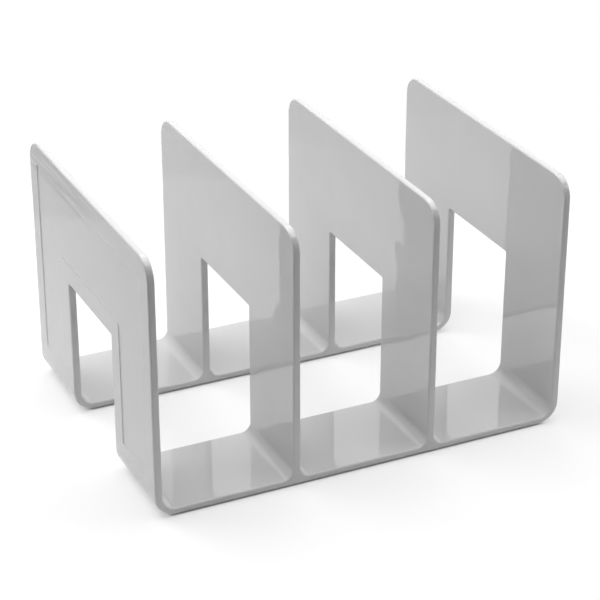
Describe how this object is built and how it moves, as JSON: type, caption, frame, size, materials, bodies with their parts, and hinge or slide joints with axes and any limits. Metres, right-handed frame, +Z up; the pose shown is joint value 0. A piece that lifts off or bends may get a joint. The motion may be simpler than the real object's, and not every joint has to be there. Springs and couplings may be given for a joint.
{
  "type": "desktop book rack",
  "caption": "Free-standing desktop rack moulded in one piece: upright dividers with arched openings on a front and a rear rail, raised on soft non-slip feet.",
  "frame": {"origin": "on the standing surface, under the middle of the rack", "axes": "+Z up; X along the row of bays; the pictured open front of the bays faces -Y"},
  "size_m": [0.248, 0.184, 0.151],
  "materials": {
    "light_grey_plastic": "glossy as moulded, light grey",
    "foot_rubber": "matt, dark grey"
  },
  "bodies": {
    "root": {"rack_moulding": "light_grey_plastic", "foot_front_left": "foot_rubber", "foot_front_right": "foot_rubber", "foot_rear_left": "foot_rubber", "foot_rear_right": "foot_rubber"}
  },
  "joints": []
}
